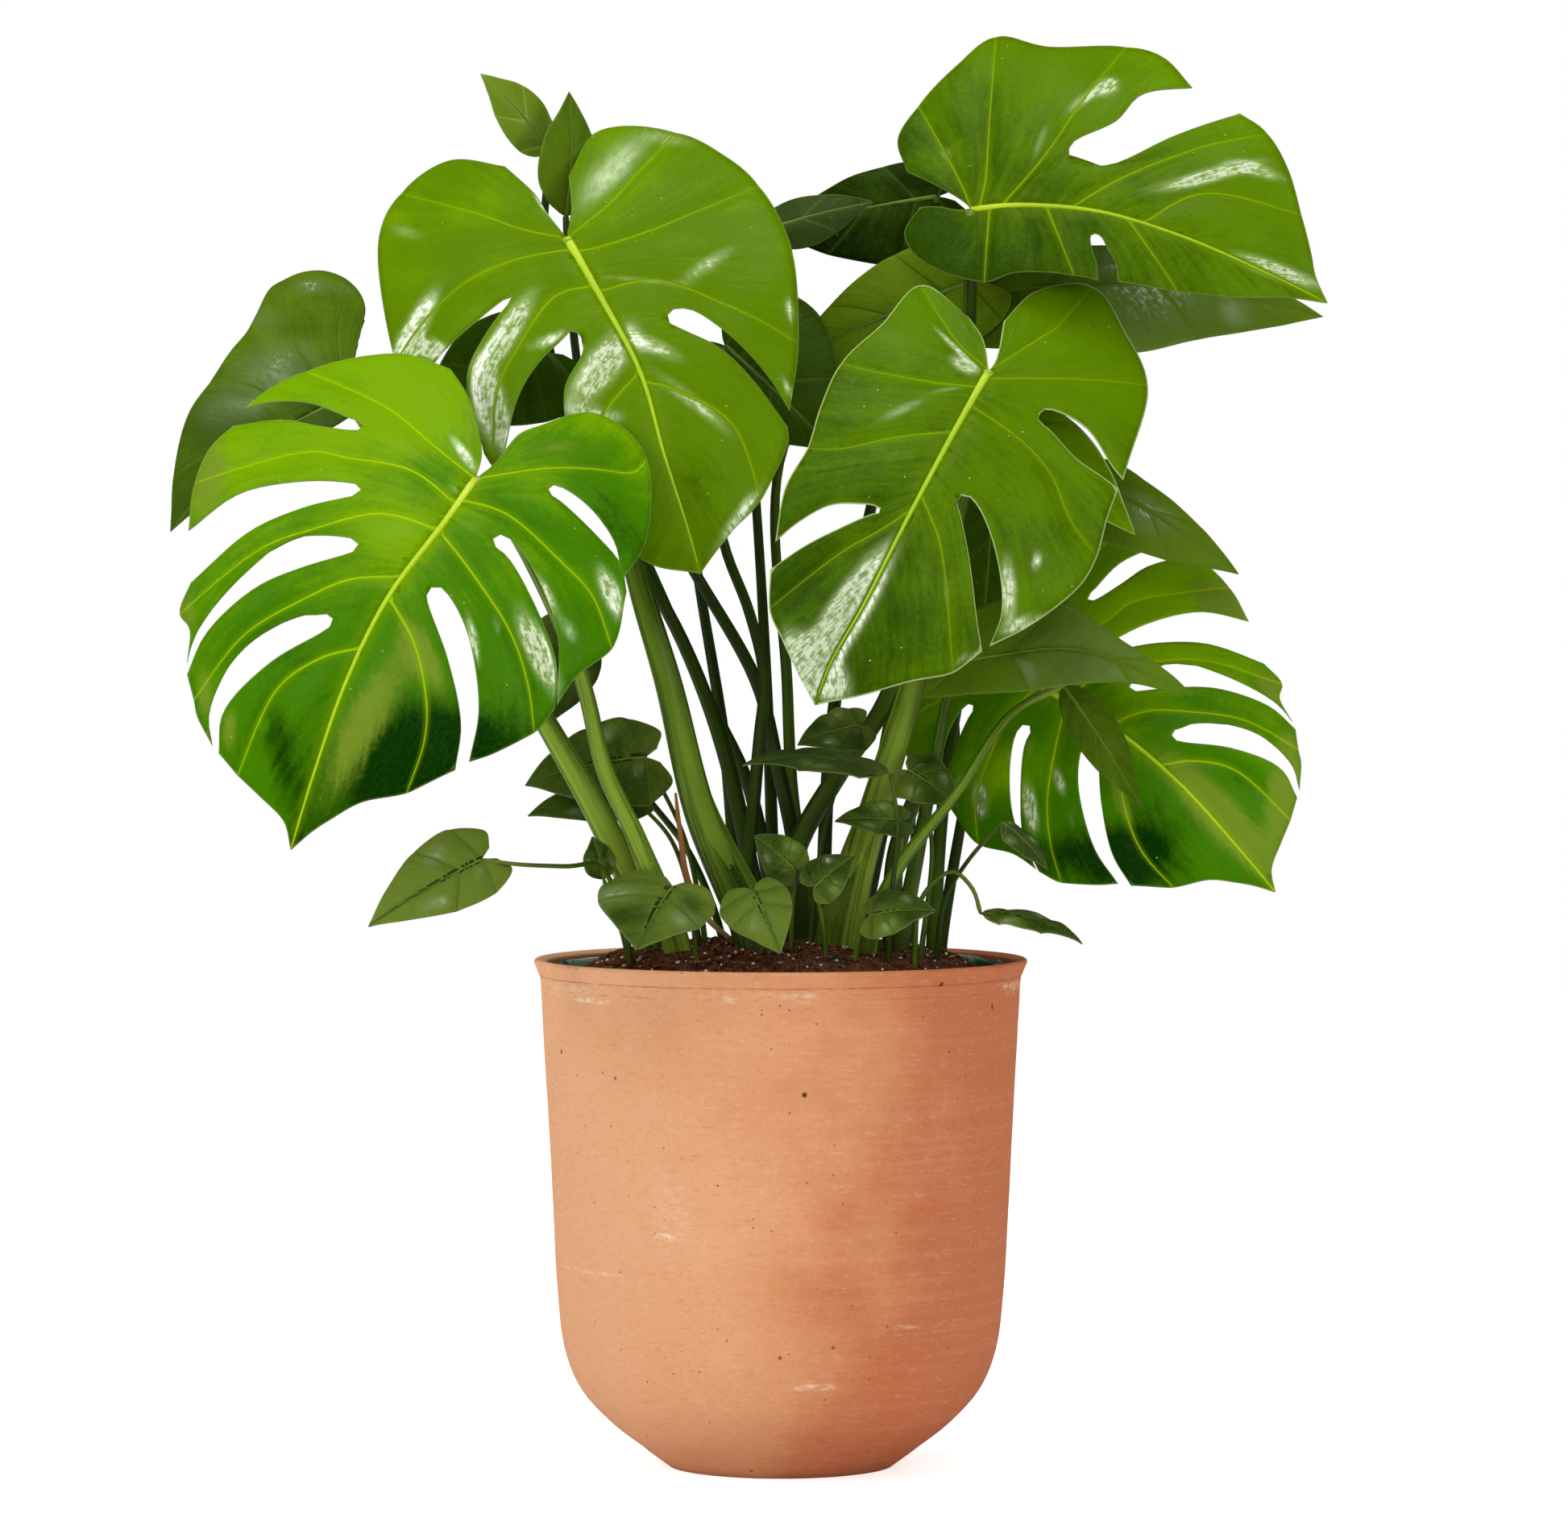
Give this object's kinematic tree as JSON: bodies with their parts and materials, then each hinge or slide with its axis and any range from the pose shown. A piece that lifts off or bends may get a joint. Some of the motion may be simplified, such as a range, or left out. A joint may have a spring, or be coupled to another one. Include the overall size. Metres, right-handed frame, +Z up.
{
  "type": "potted monstera plant",
  "caption": "Monstera plant with glossy split leaves on long stalks, growing from dark soil in a round-bellied terracotta pot.",
  "frame": {"origin": "middle of the pot's round foot, on the surface that the pot stands on", "axes": "+Z up along the pot's axis, the plant's front looks towards -Y, +X to the right seen from the front"},
  "size_m": [0.6923, 0.4241, 0.8718],
  "materials": {
    "terracotta": "matte",
    "nursery_plastic": "satin",
    "potting_soil": "matte",
    "leaf_glossy": "gloss",
    "leaf_young": "satin",
    "leaf_dark": "satin"
  },
  "bodies": {
    "root": {"terracotta_pot": "terracotta", "nursery_pot": "nursery_plastic", "soil": "potting_soil", "leaf_upper_left": "leaf_glossy", "leaf_lower_left": "leaf_young", "leaf_middle_right": "leaf_glossy", "leaf_upper_right": "leaf_glossy", "leaf_lower_right": "leaf_young", "leaf_far_left": "leaf_dark", "leaf_under_upper_right": "leaf_dark", "leaf_below_middle": "leaf_dark", "leaf_drooping_right": "leaf_dark", "leaf_right_edge": "leaf_dark", "leaf_behind_slot": "leaf_dark", "leaf_back_top": "leaf_dark", "leaf_curled_back": "leaf_dark", "leaf_underside": "leaf_dark", "leaf_top_young": "leaf_young", "leaf_top_side": "leaf_dark", "leaf_behind_left": "leaf_dark", "leaf_between": "leaf_dark", "leaf_back_left": "leaf_dark", "leaf_back_right": "leaf_dark", "leaf_low_far_left": "leaf_dark", "leaf_low_front_left": "leaf_dark", "leaf_low_front": "leaf_dark", "leaf_low_middle_a": "leaf_dark", "leaf_low_middle_b": "leaf_dark", "leaf_low_middle_c": "leaf_dark", "leaf_low_right_front": "leaf_dark", "leaf_low_far_right": "leaf_dark", "leaf_low_right_folded": "leaf_dark", "leaf_low_edge_on": "leaf_dark", "leaf_low_behind_middle": "leaf_dark", "leaf_low_left_a": "leaf_dark", "leaf_low_left_b": "leaf_dark", "leaf_low_left_c": "leaf_dark", "leaf_low_right_a": "leaf_dark", "leaf_low_right_b": "leaf_dark", "leaf_low_left_stub": "leaf_dark"}
  },
  "joints": []
}
